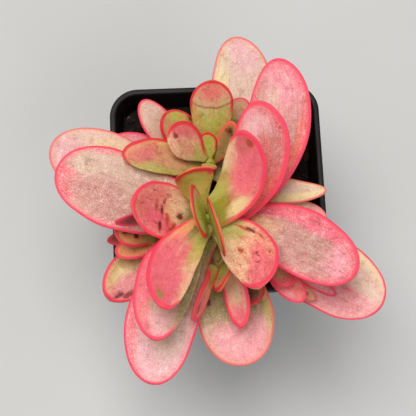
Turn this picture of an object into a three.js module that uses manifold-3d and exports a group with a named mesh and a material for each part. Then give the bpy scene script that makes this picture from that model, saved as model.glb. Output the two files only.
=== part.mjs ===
// Potted Crassula platyphylla: a square pot, soil, two stems with short side branches, and the leaves.
// Units are millimetres. +Z is up, and the origin is the centre of the pot's flat bottom.
// +X is to the right of a viewer who stands towards -Y.

import * as THREE from 'three';
import Module from 'manifold-3d';

const wasm = await Module();
wasm.setup();

// Clearance between pieces that touch
const GAP = 0.3;

// Pot
const RIM_SIZE = 70;
const RIM_CORNER = 9.5;
const POT_HEIGHT = 65;
const LIP_HEIGHT = 4;
const LIP_OVERHANG = 0.8;
const WALL = 1.2;
const FOOT_SIZE = 50;
const FOOT_CORNER = 7;
const FLOOR = 1.6;
const DRAIN_RADIUS = 3.2;
const DRAIN_OFFSET = 15;
const RIM_ROUND = 0.4;
const CUT_PAST = 1;
const CORNER_STEPS = 5;
const DRAIN_SIDES = 16;
const STEM_SIDES = 12;

// Soil
const SOIL_TOP = 57;
const SOIL_LUMP = 0.7;
const SOIL_WAVES = [[0.52, 0.47], [0.9, 1.1]];
const SOIL_PHASE = 1;
const SOIL_RIPPLE = 0.5;
const SOIL_EDGE_DEPTH = 2;
const SOIL_SHARES = [0.97, 0.8, 0.6, 0.4, 0.2, 0.05];
const ROOT_DEPTH = 16;

// Leaf shape, as shares of the leaf's own length and half width
const WIDEST_AT = 0.62;
const BASE_SHARE = 0.36;
const ROUND_TIP = 2.2;
const STATIONS = [0, 0.08, 0.2, 0.34, 0.48, 0.62, 0.76, 0.88, 0.96, 0.993];
const RING_POINTS = 8;
const BASE_THICKNESS = 2.8;
const MIDDLE_THICKNESS = 2.6;
const TIP_THICKNESS = 1.5;
const LEAF_START = 1.4;
const CUP = 0.12;
const BASE_FLARE = 1.3;
const ROLLED_BY = 0.3;
const HUG_REACH = 0.5;
const LEAF_MIDDLE = 0.5;

const v = (x, y, z) => new THREE.Vector3(x, y, z);

// Stems: the points of each centre line from the root or fork upwards, with the radius there
const ROOT_FOOT = SOIL_TOP - ROOT_DEPTH;
const MAIN = [[-3, -12, ROOT_FOOT, 2.4], [-3, -12, 58, 2.9], [-3.2, -12.6, 67, 2.9],
  [-3.9, -14.3, 80, 2.5], [-4.6, -15.9, 92, 1.3]];
const FRONT = [[-3.2, -12.6, 66, 1.8], [-2.8, -20, 70, 1.8], [-1.6, -26.5, 77, 1.4]];
const RIGHT = [[-3.1, -12.4, 64, 1.6], [5, -19, 67.5, 1.6], [12, -26, 74, 1.1]];
const LEFT = [[-3.1, -12.4, 65.5, 1.7], [-12, -15.5, 68.7, 1.6], [-20, -18.5, 73, 1.2]];
const BACK = [[-2.3, 5.6, ROOT_FOOT, 2], [-2.4, 5.4, 58, 2.3], [-2.6, 4.8, 70, 2.1], [-2.8, 4.2, 82.5, 1.5]];

// Leaves: name, stem, height on it, tip, width, and what differs from the usual leaf. Arch and bow are
// how far the middle lies up and to the leaf's left. Base, widest and tip shape the outline. Facing is
// the base's heading in degrees, and start its distance from the stem's line. Roll turns the left margin
// up, cup raises both margins, hug raises them at the stem, and thick scales the thickness
const LEAVES = [
  ['main_1_west', MAIN, 91.7, [-9.6, -14.2, 105],
    { width: 16.5, base: 0.7, widest: 0.45, tip: 2.6, facing: 189, start: 1.3, cup: 0.04, thick: 0.6 }],
  ['main_1_east', MAIN, 92, [-1.6, -22.8, 105],
    { bow: -0.6, width: 18.5, base: 0.45, widest: 0.5, tip: 2.6, facing: 15, start: 1.3, cup: 0.04,
      thick: 0.6 }],
  ['main_2_north', MAIN, 87.4, [5.6, 6.3, 108],
    { arch: -1, bow: -5.5, width: 13.6, base: 0.72, widest: 0.52, tip: 2.6, hug: 0.08 }],
  ['main_2_south', MAIN, 87.8, [-18, -44.6, 105],
    { arch: -1, bow: -4, width: 14, base: 0.5, widest: 0.5, hug: 0.1 }],
  ['main_3_west', MAIN, 83.7, [-27, -12.2, 101],
    { arch: -2, width: 17.8, base: 0.34, widest: 0.5, hug: 0.15 }],
  ['main_3_north', MAIN, 85.9, [-8.2, -2.7, 101.2],
    { arch: -2.9, bow: 0.8, width: 11.8, base: 0.18, widest: 0.82, tip: 2.6, facing: 104, start: 2,
      thick: 0.55 }],
  ['main_3_east', MAIN, 83.9, [8.2, -38.8, 99],
    { arch: -2, bow: 5, width: 16.2, base: 0.4, widest: 0.5, hug: 0.25 }],
  ['main_4_north', MAIN, 80.6, [11, 17.7, 100], { arch: 1, bow: -7.8, width: 18, base: 0.6, hug: 0.3 }],
  ['main_4_south', MAIN, 80.8, [-21, -52, 92],
    { arch: 1, bow: -4.8, width: 18, base: 0.45, widest: 0.55, hug: 0.12 }],
  ['main_5_west', MAIN, 77, [-50.3, 2.6, 88], { arch: 1, bow: 0.5, width: 24.5, base: 0.5 }],
  ['main_5_east', MAIN, 77, [39, -35, 86],
    { arch: 1, bow: 4.2, width: 21, base: 0.3, widest: 0.6, tip: 2.4 }],
  ['main_6_north', MAIN, 73.5, [19, 35, 89], { arch: 1, bow: -9.4, width: 20.5, base: 0.5 }],
  ['main_6_south', MAIN, 73.5, [-22.2, -64, 78], { arch: 1, bow: -5, width: 22.4, base: 0.48 }],
  ['main_7_west', MAIN, 70, [-53, 11.7, 80], { arch: 1, bow: -1.5, width: 23.5, base: 0.5 }],
  ['main_7_east', MAIN, 59.6, [49.4, -42.5, 71], { bow: 2.4, width: 24, base: 0.2, widest: 0.7 }],
  ['main_8_south', MAIN, 63, [6.2, -58.7, 70],
    { arch: 1, width: 24.5, base: 0.32, tip: 2.4, cup: 0.05 }],
  ['main_8_east', MAIN, 65.7, [34.6, -13.5, 69.3], { arch: 1, width: 14.6 }],
  ['main_side_west', MAIN, 79.4, [-32.6, -15.8, 91],
    { arch: -0.7, bow: -3.1, width: 7.4, base: 0.28, widest: 0.75, facing: 110, start: 2.5, thick: 0.48 }],
  ['back_1_south', BACK, 82, [-3.5, 0.6, 88], { width: 5, start: 1.5, thick: 0.8 }],
  ['back_1_north', BACK, 77.6, [-3.6, 13.4, 84], { width: 6, base: 0.25, start: 1.5, thick: 0.65 }],
  ['back_2_west', BACK, 80, [-14.7, 13.9, 90],
    { bow: 0.2, width: 11.4, base: 0.2, widest: 0.6, facing: 145, start: 2, thick: 0.7 }],
  ['back_2_east', BACK, 74.8, [4.6, 15.2, 88], { bow: -1, width: 6.3, base: 0.28, thick: 0.66 }],
  ['back_3_north', BACK, 72.4, [-1.2, 27.6, 92], { width: 13.4, base: 0.15, widest: 0.75, thick: 0.8 }],
  ['back_4_west', BACK, 75, [-30, 6.1, 88.5],
    { arch: 2, bow: -0.2, width: 12, base: 0.2, widest: 0.5, facing: 195, start: 1.6, thick: 0.7 }],
  ['back_5_west', BACK, 70.3, [-16.5, 20.8, 82.2], { width: 11.8, thick: 0.72 }],
  ['back_5_east', BACK, 68.8, [9.5, 26, 77.8], { width: 10.5, base: 0.25, start: 2, thick: 0.7 }],
  ['back_6_west', BACK, 67.6, [-23.5, 26.4, 79], { bow: 2.2, width: 10.3, thick: 0.75 }],
  ['back_7_west', BACK, 64.7, [-36, 12.8, 76], { width: 13.5 }],
  ['back_7_east', BACK, 67.2, [34, -5, 76],
    { width: 9.5, bow: -2.9, tip: 1.4, widest: 0.55, base: 0.5, thick: 0.8 }],
  ['back_8_north', BACK, 61.4, [6, 48.3, 74], { arch: 1, bow: -7, width: 20 }],
  ['front_1_west', FRONT, 77, [-10.5, -45.5, 84],
    { width: 8.5, roll: -65, facing: 230, start: 2.3, thick: 0.8 }],
  ['front_1_east', FRONT, 77, [-2.2, -37, 85],
    { bow: 2, width: 10, roll: 22, facing: 310, start: 2.3, thick: 0.8 }],
  ['front_2_south', FRONT, 74, [4.4, -47.8, 78], { bow: 2, width: 8.4, roll: 25, tip: 1.8, thick: 0.8 }],
  ['front_2_east', RIGHT, 70.4, [8.5, -40.5, 74.2], { width: 9, base: 0.2, start: 2.4, thick: 0.7 }],
  ['right_1', RIGHT, 73.5, [20.5, -35.3, 78.5], { bow: 0.5, width: 7, base: 0.2, start: 2.6, thick: 0.5 }],
  ['right_2', RIGHT, 70.8, [23.9, -40.5, 76.4],
    { bow: 1.2, width: 8.6, base: 0.17, start: 2.3, thick: 0.45 }],
  ['right_3', RIGHT, 68.8, [28.5, -39.3, 72], { bow: -0.3, width: 5, facing: 300, base: 0.2, thick: 0.45 }],
  ['right_4', RIGHT, 68.6, [35.3, -38.2, 72],
    { bow: 3, width: 6, facing: 45, base: 0.2, start: 2.2, thick: 0.5 }],
  ['left_1', LEFT, 73, [-33.4, -16.6, 82], { bow: -0.5, width: 9, thick: 0.55 }],
  ['left_2', LEFT, 69.4, [-33.8, -22.2, 74.8], { width: 8, base: 0.25, thick: 0.5 }],
  ['left_3', LEFT, 67.2, [-27.8, -23.1, 70.2], { width: 5, base: 0.3, facing: 250, thick: 0.5 }],
  ['left_4', LEFT, 66.9, [-36.6, -17.3, 69.6], { width: 6, base: 0.3, facing: 150, thick: 0.55 }],
  ['left_5', MAIN, 59.5, [-36.8, -36, 70], { arch: -1, bow: -2.5, width: 16.5, thick: 1.5 }],
];

// A closed solid from rings of equal size, with a fan of triangles over each end
function loft(rings) {
  const points = rings.flat();
  const triangles = [];
  const count = rings[0].length;
  rings.slice(1).forEach((ring, band) => {
    const low = band * count;
    for (let k = 0; k < count; k++) {
      const next = (k + 1) % count;
      if (ring.length === 1) {
        triangles.push(low + k, low + next, low + count);
      } else {
        triangles.push(low + k, low + next, low + count + next);
        triangles.push(low + k, low + count + next, low + count + k);
      }
    }
  });
  const fan = (ring, first, turned) => {
    if (ring.length === 1) return;
    const middle = ring.reduce((sum, p) => sum.add(p), v(0, 0, 0)).divideScalar(count);
    points.push(middle);
    for (let k = 0; k < count; k++) {
      const next = (k + 1) % count;
      triangles.push(first + (turned ? next : k), first + (turned ? k : next), points.length - 1);
    }
  };
  fan(rings[0], 0, true);
  fan(rings.at(-1), (rings.length - 1) * count, false);
  const mesh = new wasm.Mesh({
    numProp: 3,
    vertProperties: new Float32Array(points.flatMap((p) => [p.x, p.y, p.z])),
    triVerts: new Uint32Array(triangles),
  });
  return new wasm.Manifold(mesh);
}

// Rounded square outline at height z
function squareRing(size, corner, z) {
  const ring = [];
  const reach = size / 2 - corner;
  for (let quarter = 0; quarter < 4; quarter++) {
    for (let step = 0; step <= CORNER_STEPS; step++) {
      const angle = (quarter + step / CORNER_STEPS) * Math.PI / 2;
      const x = reach * Math.sign(Math.cos((quarter + 0.5) * Math.PI / 2)) + corner * Math.cos(angle);
      const y = reach * Math.sign(Math.sin((quarter + 0.5) * Math.PI / 2)) + corner * Math.sin(angle);
      ring.push(v(x, y, z));
    }
  }
  return ring;
}

// Outline of the pot's tapered body at height z, drawn in by a distance
function bodyRing(z, inset) {
  const share = z / POT_HEIGHT;
  const size = THREE.MathUtils.lerp(FOOT_SIZE, RIM_SIZE - 2 * LIP_OVERHANG, share) - 2 * inset;
  const corner = THREE.MathUtils.lerp(FOOT_CORNER, RIM_CORNER - LIP_OVERHANG, share) - inset;
  return squareRing(size, corner, z);
}

function potSolid() {
  const lipFoot = POT_HEIGHT - LIP_HEIGHT;
  const body = loft([bodyRing(0, 0), bodyRing(lipFoot, 0), bodyRing(POT_HEIGHT, 0)]);
  const lip = loft([
    squareRing(RIM_SIZE, RIM_CORNER, lipFoot),
    squareRing(RIM_SIZE, RIM_CORNER, POT_HEIGHT - RIM_ROUND),
    squareRing(RIM_SIZE - 2 * RIM_ROUND, RIM_CORNER - RIM_ROUND, POT_HEIGHT),
  ]);
  const hollow = loft([bodyRing(FLOOR, WALL), bodyRing(POT_HEIGHT + CUT_PAST, WALL)]);
  let pot = body.add(lip).subtract(hollow);
  for (const [x, y] of [[1, 1], [1, -1], [-1, 1], [-1, -1]]) {
    const drain = tube([[x * DRAIN_OFFSET, y * DRAIN_OFFSET, -CUT_PAST, DRAIN_RADIUS],
      [x * DRAIN_OFFSET, y * DRAIN_OFFSET, FLOOR + CUT_PAST, DRAIN_RADIUS]], DRAIN_SIDES, 0);
    pot = pot.subtract(drain);
  }
  return pot;
}

// Lumpy soil surface
function soilHeight(x, y) {
  const [broad, fine] = SOIL_WAVES;
  const swell = Math.sin(x * broad[0] + SOIL_PHASE) * Math.cos(y * broad[1]);
  const ripple = SOIL_RIPPLE * Math.sin(x * fine[0] - y * fine[1]);
  return SOIL_TOP + SOIL_LUMP * (swell + ripple);
}

function soilSolid() {
  const rings = [bodyRing(FLOOR + GAP, WALL + GAP), bodyRing(SOIL_TOP - SOIL_EDGE_DEPTH, WALL + GAP)];
  for (const share of SOIL_SHARES) {
    rings.push(bodyRing(SOIL_TOP, WALL + GAP).map((p) => v(p.x * share, p.y * share,
      soilHeight(p.x * share, p.y * share))));
  }
  return loft(rings);
}

// A round tube through points with a radius at each
function tube(points, sides, grow) {
  const centres = points.map((p) => v(p[0], p[1], p[2]));
  const rings = centres.map((centre, i) => {
    const along = centres[Math.min(i + 1, centres.length - 1)].clone().sub(centres[Math.max(i - 1, 0)]);
    along.normalize();
    if (i === 0) centre.addScaledVector(along, -grow);
    if (i === centres.length - 1) centre.addScaledVector(along, grow);
    const across = v(0, 1, 0).cross(along).normalize();
    const over = along.clone().cross(across);
    return Array.from({ length: sides }, (_, k) => {
      const angle = k / sides * 2 * Math.PI;
      return centre.clone()
        .addScaledVector(across, (points[i][3] + grow) * Math.cos(angle))
        .addScaledVector(over, (points[i][3] + grow) * Math.sin(angle));
    });
  });
  return loft(rings);
}

// The point of a stem's centre line at a height
function stemPoint(points, height) {
  const after = Math.max(1, points.findIndex((p) => p[2] >= height));
  const low = points[after - 1];
  const high = points[after];
  return v(...low).lerp(v(...high), (height - low[2]) / (high[2] - low[2]));
}

// Half width of a leaf at a share of its length, against the widest half
function outline(share, base, widest, point) {
  if (share < widest) return base + (1 - base) * Math.sin(share / widest * Math.PI / 2) ** BASE_FLARE;
  return Math.sqrt(1 - ((share - widest) / (1 - widest)) ** point);
}

// A thick leaf keeps the usual thickness at its base
function leafSolid([, from, height, tip, shape]) {
  const { arch = 0, bow = 0, width, roll = 0, cup = CUP, start = LEAF_START, thick = 1 } = shape;
  const { base: foot = BASE_SHARE, widest = WIDEST_AT, tip: point = ROUND_TIP, hug = 0 } = shape;
  const base = stemPoint(from, height);
  const end = v(...tip);
  const chord = end.clone().sub(base);
  const facing = shape.facing === undefined ? Math.atan2(chord.y, chord.x) : shape.facing * Math.PI / 180;
  const left = v(-Math.sin(facing), Math.cos(facing), 0);
  const up = chord.clone().normalize().cross(left).normalize();
  base.addScaledVector(v(Math.cos(facing), Math.sin(facing), 0), start);
  const middle = base.clone().lerp(end, LEAF_MIDDLE).addScaledVector(left, 2 * bow)
    .addScaledVector(up, 2 * arch);
  const line = new THREE.QuadraticBezierCurve3(base, middle, end);
  const rings = STATIONS.map((share) => {
    const along = line.getTangent(share);
    const across = left.clone().addScaledVector(along, -left.dot(along)).normalize();
    const face = along.clone().cross(across);
    const turn = roll * Math.PI / 180 * Math.min(1, share / ROLLED_BY);
    const side = across.clone().multiplyScalar(Math.cos(turn)).addScaledVector(face, Math.sin(turn));
    const top = face.clone().multiplyScalar(Math.cos(turn)).addScaledVector(across, -Math.sin(turn));
    const half = width / 2 * outline(share, foot, widest, point);
    const depth = thick * (share < LEAF_MIDDLE
      ? THREE.MathUtils.lerp(BASE_THICKNESS / Math.max(thick, 1), MIDDLE_THICKNESS, share / LEAF_MIDDLE)
      : THREE.MathUtils.lerp(MIDDLE_THICKNESS, TIP_THICKNESS, (share - LEAF_MIDDLE) / (1 - LEAF_MIDDLE)));
    const curl = cup + hug * Math.max(0, 1 - share / HUG_REACH);
    return Array.from({ length: RING_POINTS }, (_, k) => {
      const angle = k / RING_POINTS * 2 * Math.PI;
      const x = half * Math.cos(angle);
      const y = depth / 2 * Math.sin(angle) + curl * half * Math.cos(angle) ** 2;
      return line.getPoint(share).addScaledVector(side, x).addScaledVector(top, y);
    });
  });
  rings.push([end.clone()]);
  return loft(rings);
}

// The biggest body of a cut solid, without the scraps
function largest(solid) {
  return solid.decompose().reduce((best, body) => (body.volume() > best.volume() ? body : best));
}

const COLOURS = {
  pot: '#1c1718',
  soil: '#2b1f1b',
  stem: '#8a7a4a',
  rosy_leaf: '#cf6f78',
  pale_leaf: '#dcb0a6',
  green_leaf: '#a39a5c',
};
const ROUGHNESS = { pot: 0.5, soil: 0.95, stem: 0.6, leaf: 0.45 };
const PALE = /_(4_north|5|6|7|8)/;
const GREEN = /^(main_1|main_3_north|main_side|back_[1-5]_(north|west|east)|left_[1-4])/;

const plant = new THREE.Group();

// Upper leaves are rosy, wide lower ones pale, and the shaded young ones green
function toneOf(name) {
  if (GREEN.test(name)) return COLOURS.green_leaf;
  return PALE.test(name) ? COLOURS.pale_leaf : COLOURS.rosy_leaf;
}

function addNode(name, solid, colour, roughness) {
  const { vertProperties, triVerts } = solid.getMesh();
  const geometry = new THREE.BufferGeometry();
  geometry.setAttribute('position', new THREE.BufferAttribute(new Float32Array(vertProperties), 3));
  geometry.setIndex(new THREE.BufferAttribute(new Uint32Array(triVerts), 1));
  geometry.computeVertexNormals();
  const material = new THREE.MeshStandardMaterial({ color: colour, roughness, metalness: 0 });
  const mesh = new THREE.Mesh(geometry, material);
  mesh.name = name;
  plant.add(mesh);
}

// Stems joined into one solid, thickened by a distance
function stemSolid(stems, grow) {
  return stems.map((each) => tube(each, STEM_SIDES, grow)).reduce((sum, each) => sum.add(each));
}

const stemRoom = stemSolid([MAIN, FRONT, RIGHT, LEFT, BACK], GAP);
addNode('pot', potSolid(), COLOURS.pot, ROUGHNESS.pot);
addNode('soil', soilSolid().subtract(stemRoom), COLOURS.soil, ROUGHNESS.soil);
addNode('stem_main', stemSolid([MAIN, FRONT, RIGHT, LEFT], 0), COLOURS.stem, ROUGHNESS.stem);
addNode('stem_back', stemSolid([BACK], 0), COLOURS.stem, ROUGHNESS.stem);
for (const leaf of LEAVES) {
  const solid = largest(leafSolid(leaf).subtract(stemRoom));
  addNode(`leaf_${leaf[0]}`, solid, toneOf(leaf[0]), ROUGHNESS.leaf);
}

export default plant;
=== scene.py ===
import math
import random

import bmesh
import bpy
import numpy as np
from mathutils import Matrix, Vector, noise


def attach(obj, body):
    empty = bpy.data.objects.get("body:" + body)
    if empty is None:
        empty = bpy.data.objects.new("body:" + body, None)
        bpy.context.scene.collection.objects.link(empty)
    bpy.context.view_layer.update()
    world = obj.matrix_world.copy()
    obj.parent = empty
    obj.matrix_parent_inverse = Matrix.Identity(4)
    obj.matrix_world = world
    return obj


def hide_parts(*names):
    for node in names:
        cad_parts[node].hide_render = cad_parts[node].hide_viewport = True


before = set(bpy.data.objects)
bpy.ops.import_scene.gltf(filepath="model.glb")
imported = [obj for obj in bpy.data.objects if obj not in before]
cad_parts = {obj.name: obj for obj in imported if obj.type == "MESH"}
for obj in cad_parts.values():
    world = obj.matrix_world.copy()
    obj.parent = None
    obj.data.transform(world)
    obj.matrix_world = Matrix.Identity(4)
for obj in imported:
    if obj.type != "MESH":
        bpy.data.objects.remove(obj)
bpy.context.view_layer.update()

# Potted Crassula platyphylla. The scene is in metres, and the tables are in millimetres.
MM = 0.001
scene = bpy.context.scene

# Camera and light

CAMERA_PLACE = Vector((-13.47, -83.15, 406.43)) * MM
# turns from straight down, in degrees
CAMERA_TILT, CAMERA_SIDE, CAMERA_ROLL = 12.6, -1.6, -2.7
NEAREST_SEEN = 0.01
FOCAL_SHARE = 1070 / 416
SENSOR = 36.0


def make_camera():
    """The photograph's own viewpoint, found from the pot's rim."""
    tilt, side, roll = (math.radians(a) for a in (CAMERA_TILT, CAMERA_SIDE, CAMERA_ROLL))
    back = Vector((math.sin(side), -math.sin(tilt), 0))
    back.z = math.sqrt(1 - back.length_squared)
    up = (Vector((0, 1, 0)) - back * back.y).normalized()
    right = up.cross(back)
    turned_right = math.cos(roll) * right + math.sin(roll) * up
    turned_up = math.cos(roll) * up - math.sin(roll) * right
    data = bpy.data.cameras.new("camera")
    data.sensor_width = SENSOR
    data.lens = FOCAL_SHARE * SENSOR
    data.clip_start = NEAREST_SEEN
    cam = bpy.data.objects.new("camera", data)
    turn = Matrix((turned_right, turned_up, back)).transposed()
    cam.matrix_world = Matrix.Translation(CAMERA_PLACE) @ turn.to_4x4()
    scene.collection.objects.link(cam)
    scene.camera = cam


def area_light(name, place, target, size, power, colour):
    data = bpy.data.lights.new(name, "AREA")
    data.shape = "DISK"
    data.size = size
    data.energy = power
    data.color = colour
    lamp = bpy.data.objects.new(name, data)
    lamp.location = place
    lamp.rotation_euler = (Vector(target) - Vector(place)).to_track_quat("-Z", "Y").to_euler()
    scene.collection.objects.link(lamp)


# Node helpers

# the middle of what a noise texture gives
NOISE_MEAN = 0.5


def linear(colour):
    """A 0-255 screen colour as linear RGBA."""
    values = [c / 255 for c in colour]
    return tuple(v / 12.92 if v < 0.04045 else ((v + 0.055) / 1.055) ** 2.4 for v in values) + (1.0,)


class Nodes:
    """Short ways to build one material's node tree."""

    def __init__(self, name):
        self.material = bpy.data.materials.new(name)
        self.material.use_nodes = True
        self.tree = self.material.node_tree
        self.shader = self.tree.nodes["Principled BSDF"]
        self.place = self.tree.nodes.new("ShaderNodeTexCoord").outputs["Object"]

    def link(self, value, socket):
        """Joins an output to a socket, or sets a plain value."""
        if isinstance(value, bpy.types.NodeSocket):
            self.tree.links.new(value, socket)
        else:
            socket.default_value = value

    def attribute(self, name):
        node = self.tree.nodes.new("ShaderNodeAttribute")
        node.attribute_name = name
        return node.outputs["Fac"]

    def shift(self, offset):
        """Moves the texture, so that no two leaves look alike."""
        node = self.tree.nodes.new("ShaderNodeVectorMath")
        node.operation = "ADD"
        self.link(self.place, node.inputs[0])
        node.inputs[1].default_value = offset
        self.place = node.outputs[0]

    def math(self, how, a, b=0.0):
        node = self.tree.nodes.new("ShaderNodeMath")
        node.operation = how
        self.link(a, node.inputs[0])
        self.link(b, node.inputs[1])
        return node.outputs[0]

    def add(self, a, b):
        return self.math("ADD", a, b)

    def times(self, a, b):
        return self.math("MULTIPLY", a, b)

    def past(self, value, start):
        """How far a value lies past a start."""
        return self.math("SUBTRACT", value, start)

    def swing(self, texture):
        """A noise value as a swing to both sides of zero."""
        return self.past(texture, NOISE_MEAN)

    def ramp(self, value, low, high, out_low=0.0, out_high=1.0):
        """A soft rise from out_low at low to out_high at high."""
        node = self.tree.nodes.new("ShaderNodeMapRange")
        node.interpolation_type = "SMOOTHSTEP"
        self.link(value, node.inputs["Value"])
        sockets = ("From Min", "From Max", "To Min", "To Max")
        for socket, number in zip(sockets, (low, high, out_low, out_high)):
            self.link(number, node.inputs[socket])
        return node.outputs["Result"]

    def vector(self, x, y, z):
        node = self.tree.nodes.new("ShaderNodeCombineXYZ")
        for socket, value in zip(node.inputs, (x, y, z)):
            self.link(value, socket)
        return node.outputs[0]

    def noise(self, scale, detail, at=None, rough=0.5, distort=0.0):
        node = self.tree.nodes.new("ShaderNodeTexNoise")
        self.link(self.place if at is None else at, node.inputs["Vector"])
        node.inputs["Scale"].default_value = scale
        node.inputs["Detail"].default_value = detail
        node.inputs["Roughness"].default_value = rough
        node.inputs["Distortion"].default_value = distort
        return node.outputs["Fac"]

    def voronoi(self, scale):
        node = self.tree.nodes.new("ShaderNodeTexVoronoi")
        self.link(self.place, node.inputs["Vector"])
        node.inputs["Scale"].default_value = scale
        return node.outputs["Distance"]

    def mix(self, share, a, b, how="MIX"):
        node = self.tree.nodes.new("ShaderNodeMix")
        node.data_type = "RGBA"
        node.blend_type = how
        self.link(share, node.inputs["Factor"])
        self.link(a, node.inputs["A"])
        self.link(b, node.inputs["B"])
        return node.outputs["Result"]

    def bump(self, height, distance, strength, after=None):
        """Relief of a given depth in metres, on top of an earlier one."""
        node = self.tree.nodes.new("ShaderNodeBump")
        node.inputs["Strength"].default_value = strength
        node.inputs["Distance"].default_value = distance
        self.link(height, node.inputs["Height"])
        if after is not None:
            self.link(after, node.inputs["Normal"])
        return node.outputs["Normal"]

    def finish(self, colour, roughness, normal, **sockets):
        """Wires up the shader, with other sockets by name."""
        self.link(colour, self.shader.inputs["Base Color"])
        self.link(roughness, self.shader.inputs["Roughness"])
        self.link(normal, self.shader.inputs["Normal"])
        for name, value in sockets.items():
            self.shader.inputs[name.replace("_", " ")].default_value = value
        return self.material


# Mesh helpers

def add_piece(name, points, faces, material, node, attributes=(), smooth=True):
    """A mesh object in place of one node, on the part's one body."""
    mesh = bpy.data.meshes.new(name)
    mesh.from_pydata([tuple(p) for p in points], [], faces)
    for label, values in dict(attributes).items():
        layer = mesh.attributes.new(label, "FLOAT", "POINT")
        layer.data.foreach_set("value", np.asarray(values, dtype=np.float32))
    mesh.materials.append(material)
    if smooth:
        mesh.shade_smooth()
    mesh.update()
    piece = bpy.data.objects.new(name, mesh)
    scene.collection.objects.link(piece)
    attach(piece, "root")
    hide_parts(node)
    return piece


def closed_mesh(name, points, faces):
    """A smooth closed mesh in mm, to be cut from a piece or grown onto it."""
    mesh = bpy.data.meshes.new(name)
    mesh.from_pydata([tuple(p) for p in np.array(points) * MM], [], faces)
    mesh.shade_smooth()
    return mesh


def combine(piece, mesh, operation):
    """Cuts a closed mesh from a piece or grows it on, so that one closed surface is left."""
    other = bpy.data.objects.new(mesh.name, mesh)
    scene.collection.objects.link(other)
    step = piece.modifiers.new(mesh.name, "BOOLEAN")
    step.object = other
    step.operation = operation
    step.solver = "MANIFOLD"
    bpy.context.view_layer.objects.active = piece
    piece.select_set(True)
    bpy.ops.object.modifier_apply(modifier=step.name)
    bpy.data.objects.remove(other)


def ring_faces(rings, count):
    """Quads between rings of equal size, and one face over each end."""
    faces = []
    for ring in range(rings - 1):
        low = ring * count
        for k in range(count):
            after = (k + 1) % count
            faces.append((low + k, low + after, low + count + after, low + count + k))
    faces.append(tuple(reversed(range(count))))
    faces.append(tuple(range((rings - 1) * count, rings * count)))
    return faces


# The plant's own numbers, in mm: a stem is a row of points with the radius there

SOIL_TOP = 57
ROOT_FOOT = 41
MAIN = ((-3, -12, ROOT_FOOT, 2.4), (-3, -12, 58, 2.9), (-3.2, -12.6, 67, 2.9),
        (-3.9, -14.3, 80, 2.5), (-4.6, -15.9, 92, 1.3))
FRONT = ((-3.2, -12.6, 66, 1.8), (-2.8, -20, 70, 1.8), (-1.6, -26.5, 77, 1.4))
RIGHT = ((-3.1, -12.4, 64, 1.6), (5, -19, 67.5, 1.6), (12, -26, 74, 1.1))
LEFT = ((-3.1, -12.4, 65.5, 1.7), (-12, -15.5, 68.7, 1.6), (-20, -18.5, 73, 1.2))
BACK = ((-2.3, 5.6, ROOT_FOOT, 2), (-2.4, 5.4, 58, 2.3), (-2.6, 4.8, 70, 2.1), (-2.8, 4.2, 82.5, 1.5))


def leaf(stem, height, tip, width, **shape):
    """One leaf: its stem, its height on it, its tip and its width, in mm, and what differs from the usual.

    Arch and bow are how far the middle lies up and to the leaf's left. Base, widest and tip_power shape
    the outline. Facing is the base's heading in degrees, and start its distance from the stem's line.
    Roll turns the left margin up, cup raises both margins, hug raises them at the stem, and thick
    scales the thickness.
    """
    usual = {"arch": 0, "bow": 0, "base": 0.36, "widest": 0.62, "tip_power": 2.2, "facing": None,
             "start": 1.4, "roll": 0, "cup": 0.12, "hug": 0, "thick": 1}
    return {"stem": stem, "height": height, "tip": tip, "width": width, **usual, **shape}


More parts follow.
